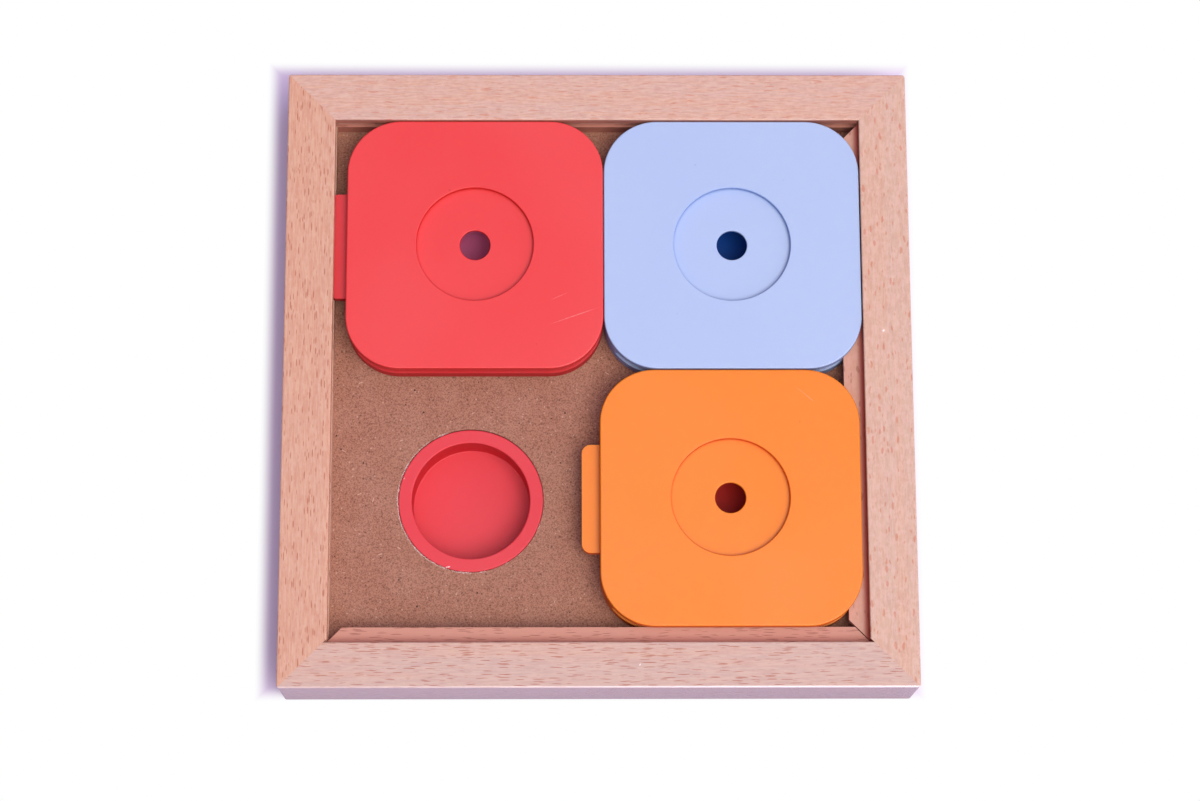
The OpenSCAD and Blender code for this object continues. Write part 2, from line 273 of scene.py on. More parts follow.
def marked(tree, plain, name, tone):
    """The tone with a surface's marks on it, and how deep these are."""
    depth = 0.0
    for mark in MARKS.get(name, ()):
        mask = add(tree, MATH, (mark_mask(tree, plain, mark), abs(mark.show)), operation="MULTIPLY")
        tone = laid(tree, tone, (mask, 1.0, PALE_MARK if mark.show > 0 else DARK_MARK))
        depth = add(tree, MATH, (depth, mask), operation="ADD")
    return tone, depth


# ---------------------------------------------------------------- materials

class Cut(NamedTuple):
    """What a bar's face shows of the plank that it was cut from; lengths in millimetres."""
    fleck_long: float      # length of a fleck
    fleck_wide: float      # width of a fleck
    flecks: float          # share of the pattern's cells that hold a fleck
    fleck_show: float      # how strongly the flecks show
    fleck_age: float       # how far the flecks have gone from orange to dark brown
    streak_long: float     # length of a streak of late wood
    streak_wide: float     # width of a streak
    streak_show: float     # how strongly the streaks show
    silk: float            # how strongly the fine lines between them show
    wave: float            # how far the grain wanders from straight
    wave_long: float       # length of one such wander
    blotch: float          # how strongly the pale blotches show
    bare: float            # how strongly the painted shade of its rebated inner side shows, darkening it below its top
    corner: float          # how strongly the painted shade, reddened with painted light from the tiles, shows in the corner of that side


CUTS = {
    "left": Cut(fleck_long=2.9, fleck_wide=0.44, flecks=0.54, fleck_show=0.58, fleck_age=0.5,
                streak_long=14, streak_wide=0.9, streak_show=0.22, silk=0.22, wave=0.3, wave_long=18,
                blotch=0.10, bare=0.0, corner=0.0),
    "right": Cut(fleck_long=2.7, fleck_wide=0.90, flecks=0.42, fleck_show=0.42, fleck_age=0.0,
                 streak_long=7, streak_wide=1.3, streak_show=0.24, silk=0.18, wave=0.9, wave_long=5,
                 blotch=0.28, bare=0.5, corner=0.9),
    "front": Cut(fleck_long=4.4, fleck_wide=0.24, flecks=0.68, fleck_show=0.76, fleck_age=0.5,
                 streak_long=16, streak_wide=0.7, streak_show=0.14, silk=0.18, wave=0.6, wave_long=9,
                 blotch=0.06, bare=0.76, corner=0.25),
    "back": Cut(fleck_long=4.0, fleck_wide=0.50, flecks=0.30, fleck_show=0.36, fleck_age=0.0,
                streak_long=11, streak_wide=0.9, streak_show=0.50, silk=0.27, wave=0.9, wave_long=9,
                blotch=0.18, bare=0.6, corner=0.40),
}
CLEAR_IOR = 1.5                            # of the lacquer, and of the plastic
FLECK_RADIUS = 0.30                        # in pattern cells, so a fleck is 0.6 of a cell
SILK_MEAN = 0.17                           # how strongly the fine lines show on average
PLANK_STEP = (0.37, 0.23, 0.11)            # metres from one bar's place in the plank to the next one's
INNER_FACE = (111.45 * MM, 111.6 * MM)     # the bars' inner faces and tongues lie nearer the middle than this
INNER_TOP = (36.8 * MM, 37.6 * MM)         # height at which an inner face turns over into the bar's top
TONGUE_CORNER = (107.2 * MM, 109.9 * MM)   # how far out a tongue's top meets its bar
# where the front bar's painted highlight lies
EDGE_FRONT = (-129.6 * MM, -129.1 * MM)    # the front bar's upper outer edge, from front to back
EDGE_UPPER = (36.6 * MM, 37.2 * MM)        # the same edge, from below to above
EDGE_RUN = (-120 * MM, 120 * MM)           # the same edge, from left to right, along which the painted highlight grows stronger


def rebated(tree):
    """Two masks for painted shade: a bar's inner face with its tongue, and the corner where these meet."""
    away = add(tree, VECTOR, (place(tree),), operation="ABSOLUTE")
    ways = add(tree, SPLIT, (away,)).outputs
    out = add(tree, MATH, (ways["X"], ways["Y"]), operation="MAXIMUM")
    near = add(tree, RANGE, (out, *INNER_FACE, 1.0, 0.0), **SMOOTH)
    below = add(tree, RANGE, (ways["Z"], *INNER_TOP, 1.0, 0.0), **SMOOTH)
    inner = add(tree, MATH, (near, below), operation="MULTIPLY")
    joint = add(tree, RANGE, (out, *TONGUE_CORNER), **SMOOTH)
    return inner, add(tree, MATH, (inner, joint), operation="MULTIPLY")


def front_edge_highlight(tree):
    """Where the front bar's painted highlight lies: 1 on its upper outer edge and 0 off it, and less towards
    its left end.
    """
    ways = add(tree, SPLIT, (place(tree),)).outputs
    outer = add(tree, RANGE, (ways["Y"], *EDGE_FRONT, 1.0, 0.0), **SMOOTH)
    upper = add(tree, RANGE, (ways["Z"], *EDGE_UPPER), **SMOOTH)
    run = add(tree, RANGE, (ways["X"], *EDGE_RUN, 0.3, 1.0), **SMOOTH)
    line = add(tree, MATH, (outer, upper), operation="MULTIPLY")
    return add(tree, MATH, (line, run), operation="MULTIPLY")


def beech(side, wood):
    """Planed and lacquered beech. The grain runs along the bar, and each bar comes from another part of
    the plank. It gives the eye a pale pink ground with short dark flecks, which are the cut rays, warm
    streaks of late wood, and pale lines and pores, both drawn coarser than the real 0.1 mm so that they
    show. Inside the frame the wood is bare and more matt, and darker with painted shade, deepest and
    reddest where a tongue meets its bar; on the front bar's upper outer edge lies a painted highlight."""
    material, tree = new_material("Planed lacquered beech, " + side + " bar")
    cut = CUTS[side]
    along_x = side in ("front", "back")
    number = SIDES.index(side)

    def grain(along, across):
        """Pattern scale for one cycle in these lengths along and across the grain."""
        return (1 / along, 1 / across, 1 / across) if along_x else (1 / across, 1 / along, 1 / across)

    plain = place(tree)
    plank = add(tree, VECTOR, (plain, [step * number for step in PLANK_STEP]), operation="ADD")
    swell = add(tree, VECTOR, (plank, grain(cut.wave_long * MM, 5 * MM)), operation="MULTIPLY")
    wander = add(tree, NOISE, {"Vector": swell, "Scale": 1.0, "Detail": 2.0, "Roughness": 0.5})
    swing = add(tree, MATH, (wander, 0.5), operation="SUBTRACT")
    push = add(tree, MATH, (swing, 2 * cut.wave * MM), operation="MULTIPLY")
    aside = add(tree, "ShaderNodeCombineXYZ", {"Y" if along_x else "X": push})
    bent = add(tree, VECTOR, (plank, aside), operation="ADD")

    def drawn(along, across):
        """The bent coordinates, in cycles of these lengths."""
        return add(tree, VECTOR, (bent, grain(along, across)), operation="MULTIPLY")

    def figure(along, across, detail, rough):
        """Noise drawn out along the grain."""
        return add(tree, NOISE, {"Vector": drawn(along, across), "Scale": 1.0, "Detail": detail,
                                 "Roughness": rough})

    rings = figure(160 * MM, wood.ring, detail=2.0, rough=0.5)
    streaks = figure(cut.streak_long * MM, cut.streak_wide * MM, detail=3.0, rough=0.6)
    silk = figure(7 * MM, 0.6 * MM, detail=3.0, rough=0.65)
    blotch = figure(2.4 * MM, 1.6 * MM, detail=3.0, rough=0.6)
    cell = (cut.fleck_long * MM / (2 * FLECK_RADIUS), cut.fleck_wide * MM / (2 * FLECK_RADIUS))
    flecks = spots(tree, drawn(*cell), radius=FLECK_RADIUS, soft=0.05, presence=cut.flecks)
    pores = spots(tree, drawn(2.4 * MM, 0.8 * MM), radius=0.22, soft=0.10, presence=0.35)
    inner, corner = rebated(tree)
    # flecks go dark with age, and on the inner faces all of them go dark with the painted shade
    age = add(tree, MATH, (inner, cut.fleck_age), operation="MAXIMUM")
    lines = (silk, 0.32, 0.68, SILK_MEAN - cut.silk / 2, SILK_MEAN + cut.silk / 2)

    tone = laid(
        tree, rgba(getattr(wood, side)),
        (add(tree, RANGE, (rings, 0.38, 0.66), **SMOOTH), 0.22, wood.warm),
        (add(tree, RANGE, (streaks, 0.45, 0.78), **SMOOTH), cut.streak_show, wood.warm),
        (add(tree, RANGE, lines, **SMOOTH), 1.0, wood.straw),
        (add(tree, RANGE, (blotch, 0.42, 0.62), **SMOOTH), cut.blotch, wood.pink),
        (pores, 0.20, wood.fleck),
        # painted shade on the inner face and its tongue, and a deeper, redder painted shade in the corner where
        # they meet
        (inner, cut.bare, wood.bare),
        (corner, cut.corner, wood.corner),
        (flecks, cut.fleck_show, laid(tree, rgba(wood.fleck), (age, 1.0, wood.dark_fleck))),
    )
    # a painted highlight along the front bar's upper outer edge
    if side == "front":
        tone = laid(tree, tone, (front_edge_highlight(tree), 0.8, wood.edge))
    tone = marked(tree, plain, side + " bar", tone)[0]

    dents = add(tree, MATH, (silk, flecks), operation="SUBTRACT")
    relief = add(tree, MATH, (dents, 0.5), operation="MULTIPLY")
    bump = add(tree, "ShaderNodeBump", {"Strength": 0.2, "Distance": 0.04 * MM, "Height": relief})
    shine = add(tree, RANGE, (silk, 0.2, 0.8, wood.roughness - 0.04, wood.roughness + 0.06), **SMOOTH)
    matt = add(tree, MATH, (inner, 0.5), operation="MULTIPLY")
    rough = add(tree, MATH, (shine, matt), operation="ADD")
    add(tree, OUTPUT, (add(tree, BSDF, {
        "Base Color": tone, "Roughness": rough, "IOR": CLEAR_IOR, "Normal": bump}),))
    return material


VENEER = 0.8 * MM                          # thickness of a layer
VENEER_DRIFT = 20 * MM                     # length over which a layer's tone drifts


def plywood():
    """Birch plywood of the loose splines, sawn. It gives the eye thin stripes, the veneers glued crosswise."""
    material, tree = new_material("Sawn birch plywood")
    scale = (1 / VENEER_DRIFT, 1 / VENEER_DRIFT, 1 / VENEER)
    layers = add(tree, VECTOR, (place(tree), scale), operation="MULTIPLY")
    drift = add(tree, NOISE, {"Vector": layers, "Scale": 1.0, "Detail": 1.0, "Roughness": 0.5})
    tone = laid(tree, rgba("#e6cfa8"), (add(tree, RANGE, (drift, 0.4, 0.6), **SMOOTH), 1.0, "#c79f70"))
    add(tree, OUTPUT, (add(tree, BSDF, {"Base Color": tone, "Roughness": 0.7}),))
    return material


BOARD_CUT = (0.31, 0.17, 0.05)             # metres from the board's place in its pattern
BOARD_CLOUD = 14 * MM                      # size of the paler patches
FIBRE_TURNS = (0.5, 1.9, 2.8)              # ways that the single pale fibres lie, in radians
FIBRE_CELL = (8 * MM, 1.4 * MM, 3 * MM)    # pattern cell of one such fibre


def fibre_board(board):
    """Bare fibre board, pressed. It gives the eye a dull, matted brown with dark specks of bark and a few
    pale fibres; the fibre grain is drawn coarser than the real 0.1 mm so that it shows."""
    material, tree = new_material("Pressed fibre board, bare")
    plain = place(tree, BOARD_CUT)
    fibre = add(tree, NOISE, {"Vector": plain, "Scale": 1 / board.fibre, "Detail": 3.0, "Roughness": 0.75})
    cloud = add(tree, NOISE, {"Vector": plain, "Scale": 1 / BOARD_CLOUD, "Detail": 2.0, "Roughness": 0.5})
    tone = laid(
        tree, rgba(board.dark),
        (add(tree, RANGE, (fibre, 0.32, 0.60), **SMOOTH), 1.0, board.base),
        (add(tree, RANGE, (cloud, 0.35, 0.70), **SMOOTH), 0.05, board.straw),
        (spots(tree, plain, radius=0.23, soft=0.06, presence=0.30, size=1.6 * MM), 0.46, board.speck),
        (spots(tree, plain, radius=0.21, soft=0.06, presence=0.20, size=1.5 * MM), 0.34, board.straw),
        (spots(tree, plain, radius=0.17, soft=0.04, presence=0.055, size=board.speck_pitch), 0.92, board.speck),
    )
    for turn in FIBRE_TURNS:
        turned = add(tree, "ShaderNodeVectorRotate", {"Vector": plain, "Angle": turn}, rotation_type="Z_AXIS")
        lying = add(tree, VECTOR, (turned, [1 / side for side in FIBRE_CELL]), operation="MULTIPLY")
        fibres = spots(tree, lying, radius=0.11, soft=0.03, presence=0.025)
        tone = laid(tree, tone, (fibres, 0.6, board.straw))
    tone = marked(tree, place(tree), "board", tone)[0]

    bump = add(tree, "ShaderNodeBump", {"Strength": 0.5, "Distance": 0.12 * MM, "Height": fibre})
    add(tree, OUTPUT, (add(tree, BSDF, {
        "Base Color": tone, "Roughness": 0.85, "Normal": bump}),))
    return material


DISH_RADIUS = 24.3 * MM                    # of the foot of a tile's dish
DISH_LINE = (0.15 * MM, 0.75 * MM)         # from full to nothing, to either side of that foot
WALL_RISE = (0.15, 0.75)                   # the normal's upward part, from a wall to a face
DEPTH_POWER = 1.8                          # the painted shade's tone is the tint raised to this power, deeper as light that goes to and fro in a deep place takes on more colour
FLOW_LONG = 60 * MM                        # size of the paler patches that the flow of the melt leaves
SOAK = 0.35                                # share of the light that goes into the plastic
SOAK_DEPTH = 2 * MM                        # and how far it goes


def dish_foot_shade(tree, plain, middle):
    """Where painted shade goes at the foot of a tile's dish: 1 there and 0 off it."""
    away = add(tree, VECTOR, (plain, middle), operation="SUBTRACT")
    across = add(tree, VECTOR, (away, (1, 1, 0)), operation="MULTIPLY")
    out = add(tree, VECTOR, (across,), operation="LENGTH")
    past = add(tree, MATH, (out, DISH_RADIUS), operation="SUBTRACT")
    off = add(tree, MATH, (past,), operation="ABSOLUTE")
    return add(tree, RANGE, (off, *DISH_LINE, 1.0, 0.0), **SMOOTH)


def steep(tree):
    """1 on the walls of a moulding and 0 on its faces."""
    normal = add(tree, "ShaderNodeTexCoord").outputs["Normal"]
    sizes = add(tree, VECTOR, (normal,), operation="ABSOLUTE")
    rise = add(tree, SPLIT, (sizes,)).outputs["Z"]
    return add(tree, RANGE, (rise, *WALL_RISE, 1.0, 0.0), **SMOOTH)


def moulded_plastic(name, tint, plastic, seed, shine=0.5, dish=None):
    """Injection-moulded plastic with a satin surface. It gives the eye an even colour, duller on the walls,
    with painted shade in a deeper tone on the walls and along the foot of a tile's dish, and a few marks;
    on the red cup's rim two of them are painted highlights. The grain of the spark-eroded mould is drawn
    coarser than the real 0.05 mm so that it shows."""
    material, tree = new_material("Injection-moulded plastic, " + name)
    plain = place(tree)
    walls = steep(tree)
    spark = add(tree, NOISE, {"Vector": plain, "Scale": 1 / plastic.spark, "Detail": 2.0, "Roughness": 0.5})
    shift = add(tree, VECTOR, (plain, (0.13 * seed, 0.29 * seed, 0)), operation="ADD")
    flow = add(tree, NOISE, {"Vector": shift, "Scale": 1 / FLOW_LONG, "Detail": 1.0, "Roughness": 0.5})
    # the tone of the painted shade on the walls and at the dish's foot
    deep = (*[channel ** DEPTH_POWER for channel in hex_colour(tint)], 1)
    # the walls get a painted shade in that tone
    tone = laid(tree, rgba(tint), (add(tree, RANGE, (flow, 0.3, 0.7), **SMOOTH), 0.012, PALE_MARK),
                (walls, 0.7, deep))
    # painted shade along the foot of a tile's dish
    if dish:
        tone = laid(tree, tone, (dish_foot_shade(tree, plain, dish), 0.35, deep))
    tone, depth = marked(tree, plain, name, tone)

    grain = add(tree, MATH, (spark, 0.6), operation="MULTIPLY")
    relief = add(tree, MATH, (grain, depth), operation="SUBTRACT")
    bump = add(tree, "ShaderNodeBump", {"Strength": 0.12, "Distance": 0.04 * MM, "Height": relief})
    satin = add(tree, RANGE, (spark, 0.3, 0.7, plastic.roughness - 0.03, plastic.roughness + 0.03), **SMOOTH)
    dull = add(tree, MATH, (walls, 0.3), operation="MULTIPLY")
    rough = add(tree, MATH, (satin, dull), operation="ADD")
    add(tree, OUTPUT, (add(tree, BSDF, {
        "Base Color": tone, "Roughness": rough, "IOR": CLEAR_IOR, "Subsurface Weight": SOAK,
        "Subsurface Scale": SOAK_DEPTH, "Subsurface Radius": hex_colour(tint), "Specular IOR Level": shine,
        "Normal": bump}),))
    return material


RUBBER_GRAIN = 0.6 * MM
TORN_PATCH = 2 * MM                        # size of the darker patches in the torn fibres


def foot_rubber():
    """Moulded rubber of the feet. It gives the eye a dark, matt surface; its grain is drawn coarser than the
    real 0.1 mm so that it shows."""
    material, tree = new_material("Moulded rubber")
    grain = add(tree, NOISE, {"Vector": place(tree), "Scale": 1 / RUBBER_GRAIN, "Detail": 2.0,
                              "Roughness": 0.5})
    tone = laid(tree, rgba("#2d2d2f"), (grain, 1.0, "#454548"))
    bump = add(tree, "ShaderNodeBump", {"Strength": 0.3, "Distance": 0.05 * MM, "Height": grain})
    add(tree, OUTPUT, (add(tree, BSDF, {
        "Base Color": tone, "Roughness": 0.8, "Normal": bump}),))
    return material


def torn_fibre(fray):
    """Torn wood fibre, dry. It gives the eye a pale, matt fuzz round the holes."""
    material, tree = new_material("Torn wood fibre")
    patch = add(tree, NOISE, {"Vector": place(tree), "Scale": 1 / TORN_PATCH, "Detail": 2.0,
                              "Roughness": 0.5})
    tone = laid(tree, rgba(fray.tint), (add(tree, RANGE, (patch, 0.4, 0.7), **SMOOTH), 1.0, "#c4a79a"))
    add(tree, OUTPUT, (add(tree, BSDF, {"Base Color": tone, "Roughness": 0.9}),))
    return material


def dress(node, material):
    """Gives a CAD node its material."""
    mesh = NODES[node].data
    mesh.materials.clear()
    mesh.materials.append(material)


WELD_REACH = 0.002 * MM                    # corners closer than this are joined
SHARP = math.radians(40)                   # edges sharper than this are rounded


def soften(node, radius):
    """Rounds a CAD node's sharp edges a little, as a tool or a mould leaves them."""
    piece = NODES[node]
    weld = piece.modifiers.new("Join the triangles", "WELD")
    weld.merge_threshold = WELD_REACH
    bevel = piece.modifiers.new("Soft edges", "BEVEL")
    bevel.width = radius
    bevel.segments = 2
    bevel.limit_method = "ANGLE"
    bevel.angle_limit = SHARP
    bevel.harden_normals = True


# ---------------------------------------------------------------- frayed hole edges

WORN_SIDE = (-0.92, -0.38, 0)              # towards this side more fibres are torn
WORN_MORE = 0.22                           # how much more
WORN_PATCH = 7 * MM                        # size of a patch with torn fibres
CUP_GAP = 0.2 * MM                         # between a cup and the edge of its hole
FRAY_SEED = 11


def fray_tree():
    """Geometry nodes: short torn fibres lie round a circle at each point of the input mesh. They start
    along the circle, a little to either side of it, and where the board's edge is whole they go."""
    tree = bpy.data.node_groups.new("Torn fibres round a hole", "GeometryNodeTree")
    inputs = (("Holes", "NodeSocketGeometry"), ("Radius", "NodeSocketFloat"), ("Fibres", "NodeSocketInt"),
              ("Length", "NodeSocketFloat"), ("Thickness", "NodeSocketFloat"),
              ("Spread", "NodeSocketFloat"), ("Patch", "NodeSocketFloat"),
              ("Worn side", "NodeSocketVector"), ("Seed", "NodeSocketInt"),
              ("Material", "NodeSocketMaterial"))
    for name, kind in inputs:
        tree.interface.new_socket(name, in_out="INPUT", socket_type=kind)
    tree.interface.new_socket("Fray", in_out="OUTPUT", socket_type="NodeSocketGeometry")
    given = add(tree, "NodeGroupInput").outputs

    edge = add(tree, "GeometryNodeCurvePrimitiveCircle", {"Resolution": 96, "Radius": given["Radius"]})
    edges = add(tree, "GeometryNodeInstanceOnPoints", {"Points": given["Holes"], "Instance": edge})
    loops = add(tree, "GeometryNodeRealizeInstances", (edges,))
    roots = add(tree, "GeometryNodeCurveToPoints", {"Curve": loops, "Count": given["Fibres"]},
                mode="COUNT").outputs

    def chance(low, high, step):
        """A random value for each fibre."""
        seed = add(tree, MATH, (given["Seed"], step), operation="ADD")
        return add(tree, "FunctionNodeRandomValue", {"Min": low, "Max": high, "Seed": seed},
                   data_type="FLOAT")

    off = add(tree, MATH, (chance(-0.25, 1.0, 1), given["Spread"]), operation="MULTIPLY")
    outward = add(tree, VECTOR, {0: roots["Normal"], "Scale": off}, operation="SCALE")
    spread = add(tree, "GeometryNodeSetPosition", {"Geometry": roots["Points"], "Offset": outward})
    fine = add(tree, MATH, (1.0, given["Patch"]), operation="DIVIDE")
    patch = add(tree, NOISE, {"Vector": add(tree, "GeometryNodeInputPosition"), "Scale": fine, "Detail": 2.0})
    worn = add(tree, VECTOR, (roots["Normal"], given["Worn side"]), operation="DOT_PRODUCT")
    more = add(tree, MATH, (worn, WORN_MORE), operation="MULTIPLY")
    level = add(tree, MATH, (patch, more), operation="ADD")
    whole = add(tree, "FunctionNodeCompare", (level, chance(0.48, 0.62, 2)), data_type="FLOAT",
                operation="LESS_THAN")
    torn = add(tree, "GeometryNodeDeleteGeometry", {"Geometry": spread, "Selection": whole}, domain="POINT")

    half = add(tree, MATH, (given["Thickness"], 0.5), operation="MULTIPLY")
    fibre = add(tree, "GeometryNodeMeshCone", {"Vertices": 4, "Side Segments": 2, "Radius Top": 0.0,
                                               "Radius Bottom": half, "Depth": given["Length"]})
    along = add(tree, "FunctionNodeAlignRotationToVector", {"Vector": roots["Tangent"]}, axis="Z")
    turn = add(tree, "ShaderNodeCombineXYZ", {"Z": chance(-0.9, 0.9, 3)})
    swing = add(tree, "FunctionNodeRotateRotation", {"Rotation": along, "Rotate By": turn},
                rotation_space="GLOBAL")
    fibres = add(tree, "GeometryNodeInstanceOnPoints", {"Points": torn, "Instance": fibre, "Rotation": swing,
                                                        "Scale": chance(0.3, 1.0, 4)})
    real = add(tree, "GeometryNodeRealizeInstances", (fibres,))
    tinted = add(tree, "GeometryNodeSetMaterial", {"Geometry": real, "Material": given["Material"]})
    add(tree, "NodeGroupOutput", (tinted,))
    return tree


def run_nodes(name, points, tree, values):
    """A plain mesh that a geometry-nodes tree makes from some points."""
    seeds = bpy.data.meshes.new(name + "_points")
    seeds.from_pydata(points, [], [])
    maker = bpy.data.objects.new(name + "_maker", seeds)
    bpy.context.scene.collection.objects.link(maker)
    modifier = maker.modifiers.new("Make", "NODES")
    modifier.node_group = tree
    for socket in tree.interface.items_tree:
        if socket.name in values:
            modifier[socket.identifier] = values[socket.name]
    made = maker.evaluated_get(bpy.context.evaluated_depsgraph_get())
    mesh = bpy.data.meshes.new_from_object(made)
    mesh.name = name
    bpy.data.objects.remove(maker)
    if not mesh.polygons:
        raise RuntimeError(name + " came out empty")
    piece = bpy.data.objects.new(name, mesh)
    bpy.context.scene.collection.objects.link(piece)
    return piece


# ---------------------------------------------------------------- operators

class TREATBOARD_OT_bars(bpy.types.Operator):
    """Finish the four beech bars of the frame"""
    bl_idname = "treatboard.bars"
    bl_label = "Frame bars"

    def execute(self, context):
        for side in SIDES:
            dress("frame_bar_" + side, beech(side, context.scene.treat_beech))
        return {"FINISHED"}


class TREATBOARD_OT_splines(bpy.types.Operator):
    """Finish the plywood splines in the mitres"""
    bl_idname = "treatboard.splines"
    bl_label = "Mitre splines"

    def execute(self, context):
        wood = plywood()
        for corner in CORNERS:
            dress("mitre_spline_" + corner, wood)
        return {"FINISHED"}


class TREATBOARD_OT_board(bpy.types.Operator):
    """Finish the fibre board"""
    bl_idname = "treatboard.board"
    bl_label = "Base board"

    def execute(self, context):
        dress("base_board", fibre_board(context.scene.treat_fibre))
        return {"FINISHED"}


class TREATBOARD_OT_fray(bpy.types.Operator):
    """Lay torn fibres round the cups' holes in the board"""
    bl_idname = "treatboard.fray"
    bl_label = "Frayed hole edges"

    def execute(self, context):
        fray = context.scene.treat_fray
        board_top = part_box("base_board")[1][2]
        centres, radius = [], 0
        for corner in CORNERS:
            low, high = (Vector(point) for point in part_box("cup_" + corner))
            middle = (low + high) / 2
            centres.append((middle.x, middle.y, board_top))
            radius = (high.x - low.x) / 2
        values = {"Radius": radius + CUP_GAP, "Fibres": fray.count, "Length": fray.long,
                  "Thickness": fray.thick, "Spread": fray.spread, "Patch": WORN_PATCH,
                  "Worn side": WORN_SIDE, "Seed": FRAY_SEED, "Material": torn_fibre(fray)}
        piece = run_nodes("frayed_hole_edges", centres, fray_tree(), values)
        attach(piece, "frame")
        return {"FINISHED"}


CUP_SHINE = 0.2                            # the cups are duller than the tiles
CUP_SEED = 4                               # the tiles' seeds are 1 to 3
CORE_ROUNDING = 0.4 * MM                   # of the tile cores' edges, from the mould


class TREATBOARD_OT_cups(bpy.types.Operator):
    """Finish the four sunk cups"""
    bl_idname = "treatboard.cups"
    bl_label = "Cups"

    def execute(self, context):
        plastic = context.scene.treat_plastic
        # the front right cup takes the brighter copy of the red cup's tone, as painted light
        cups = {"front_left": ("red cup", plastic.cup_red), "front_right": ("deep red cup", plastic.cup_red_painted_light),
                "back_left": ("lilac cup", plastic.cup_lilac), "back_right": ("blue cup", plastic.cup_blue)}
        for seed, (corner, (name, tint)) in enumerate(cups.items()):
            dress("cup_" + corner, moulded_plastic(name, tint, plastic, seed + CUP_SEED, shine=CUP_SHINE))
        return {"FINISHED"}


class TREATBOARD_OT_tiles(bpy.types.Operator):
    """Finish the three sliding tiles"""
    bl_idname = "treatboard.tiles"
    bl_label = "Tiles"

    def execute(self, context):
        plastic = context.scene.treat_plastic
        for seed, name in enumerate(TILES):
            tint = getattr(plastic, name)
            low, high = (Vector(point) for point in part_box(name + "_tile_top"))
            dish = (low + high) / 2
            dress(name + "_tile_top", moulded_plastic(name + " tile", tint, plastic, seed + 1, dish=dish))
            # the red and blue cores and undersides take darker copies of their tile's tone as painted shade;
            # the orange ones take the tile's own
            core = moulded_plastic(name + " core", getattr(plastic, name + "_core", tint), plastic, seed + 1)
            dress(name + "_tile_core", core)
            dress(name + "_tile_bottom", core)
            soften(name + "_tile_core", CORE_ROUNDING)
        return {"FINISHED"}


class TREATBOARD_OT_feet(bpy.types.Operator):
    """Finish the four rubber feet"""
    bl_idname = "treatboard.feet"
    bl_label = "Feet"

    def execute(self, context):
        rubber = foot_rubber()
        for corner in CORNERS:
            dress("foot_" + corner, rubber)
        return {"FINISHED"}


class TREATBOARD_OT_stage(bpy.types.Operator):
    """Make the floor, the lights and the camera"""
    bl_idname = "treatboard.stage"
    bl_label = "Floor, light and camera"

    def execute(self, context):
        scene = context.scene
        lay_floor(scene, scene.treat_stage)
        light_scene(scene, scene.treat_stage)
        place_camera(scene)
        return {"FINISHED"}


# ---------------------------------------------------------------- stage

FLOOR_SIZE = 8.0                           # metres
SHADOW_MIDDLE = (-3 * MM, 9 * MM, 0)       # of the square of floor that shows the shadow
SHADOW_HALF = 133 * MM                     # half the side of that square
SHADOW_FADE = 7 * MM                       # width over which the floor then turns white
BOUNCE_DROP = 1 * MM                       # how far under the floor the plane that lights the sides lies
BOUNCE_GLOW = 0.3                          # how much of its light comes from itself, as from a wide lit room
KEY_FROM = Vector((1.02, -1.20, 3.50))     # the soft box's place in metres; it faces the origin
BRIGHT_SIDE = Vector((0.50, -0.20, 0.84))  # the way to the brightest part of the room
BRIGHT_WIDTH = 0.95                        # cosine at which the room is at its brightest
DARK_SIDE_LEVEL = 0.08                     # light from the far side, as a share of the brightest
PHOTO_WIDTH_PX = 1200
SENSOR_MM = 36
CAMERA_FOCAL_PX = 3029.2
CAMERA_PLACE_MM = (-14.9, -293.4, 1252.7)
CAMERA_TURN_DEG = (13.0773, -0.6962, -0.1804)


def lay_floor(scene, light):
    """A plain pale floor that fills the view. It is overexposed to plain white away from the frame,
    as in a cut-out product picture, so the shadow stays short."""
    half = FLOOR_SIZE / 2
    square = [(-half, -half, 0), (half, -half, 0), (half, half, 0), (-half, half, 0)]
    mesh = bpy.data.meshes.new("floor")
    mesh.from_pydata(square, [], [(0, 1, 2, 3)])
    floor = bpy.data.objects.new("floor", mesh)
    scene.collection.objects.link(floor)
    floor.visible_diffuse = floor.visible_glossy = False
    material, tree = new_material("Plain matt floor")
    moved = add(tree, VECTOR, (place(tree), SHADOW_MIDDLE), operation="SUBTRACT")
    away = add(tree, VECTOR, (moved,), operation="ABSOLUTE")
    ways = add(tree, SPLIT, (away,)).outputs
    far = add(tree, MATH, (ways["X"], ways["Y"]), operation="MAXIMUM")
    bright = add(tree, RANGE, (far, SHADOW_HALF, SHADOW_HALF + SHADOW_FADE), **SMOOTH)
    paper = add(tree, "ShaderNodeBsdfDiffuse", {"Color": rgba(light.floor)})
    glow = add(tree, "ShaderNodeEmission", {"Color": (1, 1, 1, 1)})
    surface = add(tree, "ShaderNodeMixShader", (bright, paper, glow))
    add(tree, OUTPUT, (surface,))
    mesh.materials.append(material)

    under = bpy.data.objects.new("floor_bounce", mesh.copy())
    scene.collection.objects.link(under)
    under.visible_camera = False
    under.data.transform(Matrix.Translation((0, 0, -BOUNCE_DROP)))
    material, tree = new_material("Matt floor, as the frame's sides see it")
    paper = add(tree, "ShaderNodeBsdfDiffuse", {"Color": rgba(light.bounce)})
    glow = add(tree, "ShaderNodeEmission", {"Color": rgba(light.bounce)})
    surface = add(tree, "ShaderNodeMixShader", (BOUNCE_GLOW, paper, glow))
    add(tree, OUTPUT, (surface,))
    under.data.materials.clear()
    under.data.materials.append(material)


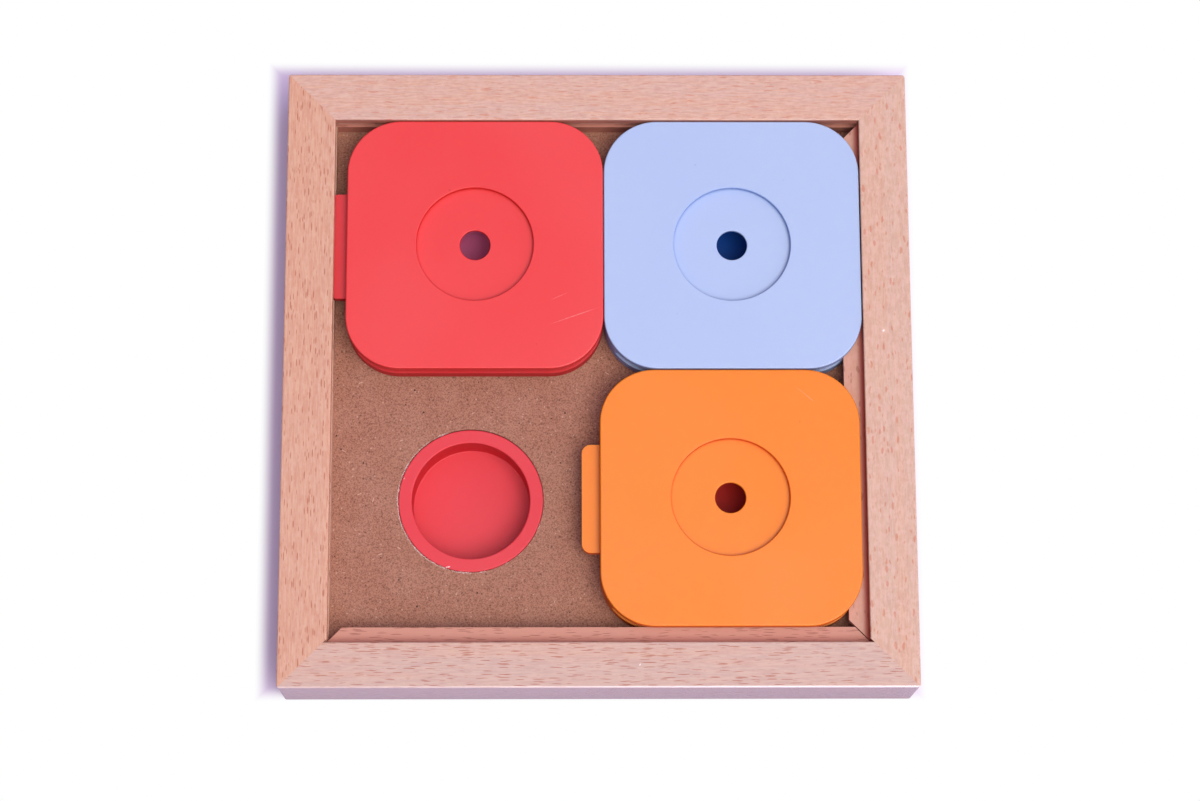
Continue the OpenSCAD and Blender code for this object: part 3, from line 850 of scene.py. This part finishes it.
def light_scene(scene, light):
    """A soft box from the front right and above, and cool light from all round."""
    world = bpy.data.worlds.new("Soft room")
    world.use_nodes = True
    tree = world.node_tree
    tree.nodes.clear()
    way = add(tree, "ShaderNodeTexCoord").outputs["Generated"]
    side = add(tree, VECTOR, (way, BRIGHT_SIDE.normalized()), operation="DOT_PRODUCT")
    levels = (DARK_SIDE_LEVEL * light.sky_strength, light.sky_strength)
    level = add(tree, RANGE, (side, 0.0, BRIGHT_WIDTH, *levels), **SMOOTH)
    room = add(tree, "ShaderNodeBackground", {"Color": rgba(light.sky), "Strength": level})
    add(tree, "ShaderNodeOutputWorld", (room,))
    scene.world = world
    box = bpy.data.lights.new("Soft box", "AREA")
    box.shape = "SQUARE"
    box.size = light.key_size
    box.energy = light.key_power
    box.color = hex_colour(light.key)
    lamp = bpy.data.objects.new("Soft box", box)
    lamp.location = KEY_FROM
    lamp.rotation_euler = (-KEY_FROM).to_track_quat("-Z", "Y").to_euler()
    scene.collection.objects.link(lamp)


def place_camera(scene):
    """The camera, fitted to the edges of the frame, the tiles and the cup in the photograph."""
    data = bpy.data.cameras.new("Camera")
    data.sensor_width = SENSOR_MM
    data.lens = CAMERA_FOCAL_PX / PHOTO_WIDTH_PX * SENSOR_MM
    data.clip_end = 20
    camera = bpy.data.objects.new("Camera", data)
    camera.location = Vector(CAMERA_PLACE_MM) * MM
    camera.rotation_euler = Euler([math.radians(a) for a in CAMERA_TURN_DEG], "XYZ")
    scene.collection.objects.link(camera)
    scene.camera = camera
    scene.view_settings.view_transform = "Standard"


# ---------------------------------------------------------------- panel and main

OPERATORS = (
    TREATBOARD_OT_bars,
    TREATBOARD_OT_splines,
    TREATBOARD_OT_board,
    TREATBOARD_OT_fray,
    TREATBOARD_OT_cups,
    TREATBOARD_OT_tiles,
    TREATBOARD_OT_feet,
    TREATBOARD_OT_stage,
)

SETTINGS = {
    "treat_beech": BeechSettings,
    "treat_fibre": BoardSettings,
    "treat_fray": FraySettings,
    "treat_plastic": PlasticSettings,
    "treat_stage": StageSettings,
}


class TREATBOARD_PT_panel(bpy.types.Panel):
    """Lists the steps and their settings"""
    bl_idname = "TREATBOARD_PT_panel"
    bl_label = "Treat board"
    bl_space_type = "VIEW_3D"
    bl_region_type = "UI"
    bl_category = "Treat board"

    def draw(self, context):
        for step in OPERATORS:
            self.layout.operator(step.bl_idname)
        for name, group in SETTINGS.items():
            box = self.layout.box()
            box.label(text=group.__doc__)
            for key in group.__annotations__:
                box.prop(getattr(context.scene, name), key)


def register():
    """Registers the settings, the steps and the panel."""
    for group in SETTINGS.values():
        bpy.utils.register_class(group)
    for name, group in SETTINGS.items():
        setattr(bpy.types.Scene, name, PointerProperty(type=group))
    for step in OPERATORS:
        bpy.utils.register_class(step)
    bpy.utils.register_class(TREATBOARD_PT_panel)


def unregister():
    """Takes away what register added."""
    bpy.utils.unregister_class(TREATBOARD_PT_panel)
    for step in reversed(OPERATORS):
        bpy.utils.unregister_class(step)
    for name in SETTINGS:
        delattr(bpy.types.Scene, name)
    for group in SETTINGS.values():
        bpy.utils.unregister_class(group)


def main():
    """Registers the add-on, then runs every step in order."""
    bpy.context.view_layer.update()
    register()
    for step in OPERATORS:
        group, name = step.bl_idname.split(".")
        getattr(getattr(bpy.ops, group), name)()


if __name__ == "__main__":
    main()
